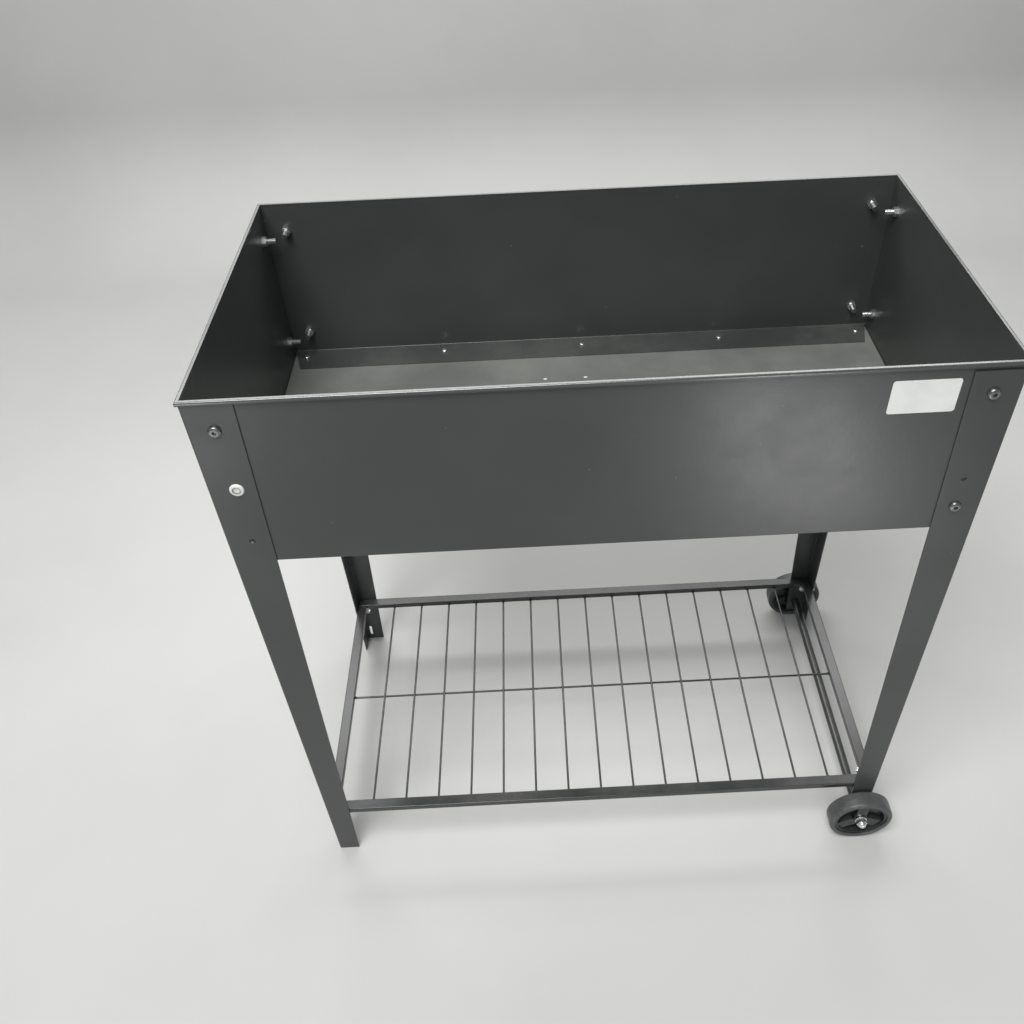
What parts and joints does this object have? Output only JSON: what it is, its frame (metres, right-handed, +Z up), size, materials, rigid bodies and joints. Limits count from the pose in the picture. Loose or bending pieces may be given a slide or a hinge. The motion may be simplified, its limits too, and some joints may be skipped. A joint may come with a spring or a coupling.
{
  "type": "raised planter",
  "caption": "Rectangular sheet-steel planting box on tapered angle legs with a wire shelf below and a wheeled axle at one end.",
  "frame": {"origin": "on the floor under the middle of the overall box", "axes": "+X along the length towards the wheeled end, +Y from front to back, +Z up"},
  "size_m": [0.7768, 0.4432, 0.8],
  "materials": {
    "powder_coat": "satin charcoal powder coat on folded steel sheet",
    "floor_coat": "satin grey coat on the floor plate",
    "shelf_coat": "satin black powder coat on tube and wire",
    "black_bolts": "black oxide bolts",
    "zinc": "bright zinc plate",
    "tyre": "smooth hard tyre",
    "wheel_plastic": "moulded black plastic",
    "white_plastic": "moulded white plastic",
    "label": "blank matt paper"
  },
  "bodies": {
    "planter": {"axle_cap_nuts": "zinc", "axle_clamp_nuts": "zinc", "axle_rod": "zinc", "axle_spacer_tube": "shelf_coat", "back_left_leg": "powder_coat", "back_left_leg_bolts": "black_bolts", "back_left_leg_nuts": "zinc", "back_panel": "powder_coat", "back_right_leg": "powder_coat", "back_right_leg_bolts": "black_bolts", "back_right_leg_nuts": "zinc", "blank_label": "label", "floor_plate": "floor_coat", "floor_screw_nuts": "zinc", "floor_screws": "zinc", "front_left_leg": "powder_coat", "front_left_leg_bolts": "black_bolts", "front_left_leg_nuts": "zinc", "front_panel": "powder_coat", "front_right_leg": "powder_coat", "front_right_leg_bolts": "black_bolts", "front_right_leg_nuts": "zinc", "left_end_panel": "powder_coat", "leg_snap_cap": "white_plastic", "right_end_panel": "powder_coat", "shelf_back_rail": "shelf_coat", "shelf_bolts": "zinc", "shelf_cross_wire": "shelf_coat", "shelf_front_rail": "shelf_coat", "shelf_left_rail": "shelf_coat", "shelf_nuts": "zinc", "shelf_right_rail": "shelf_coat", "shelf_wire_01": "shelf_coat", "shelf_wire_02": "shelf_coat", "shelf_wire_03": "shelf_coat", "shelf_wire_04": "shelf_coat", "shelf_wire_05": "shelf_coat", "shelf_wire_06": "shelf_coat", "shelf_wire_07": "shelf_coat", "shelf_wire_08": "shelf_coat", "shelf_wire_09": "shelf_coat", "shelf_wire_10": "shelf_coat", "shelf_wire_11": "shelf_coat", "shelf_wire_12": "shelf_coat", "shelf_wire_13": "shelf_coat", "shelf_wire_14": "shelf_coat", "shelf_wire_15": "shelf_coat", "wheel_washers": "zinc"},
    "front_wheel": {"front_wheel_tyre": "tyre", "front_wheel_centre": "wheel_plastic"},
    "back_wheel": {"back_wheel_tyre": "tyre", "back_wheel_centre": "wheel_plastic"}
  },
  "joints": [
    {"name": "front_wheel_spin", "type": "hinge", "parent": "planter", "child": "front_wheel", "pos_m": [0.34545, -0.2015, 0.043], "axis": [0, 1, 0], "continuous": true},
    {"name": "back_wheel_spin", "type": "hinge", "parent": "planter", "child": "back_wheel", "pos_m": [0.34545, 0.2015, 0.043], "axis": [0, 1, 0], "continuous": true}
  ]
}
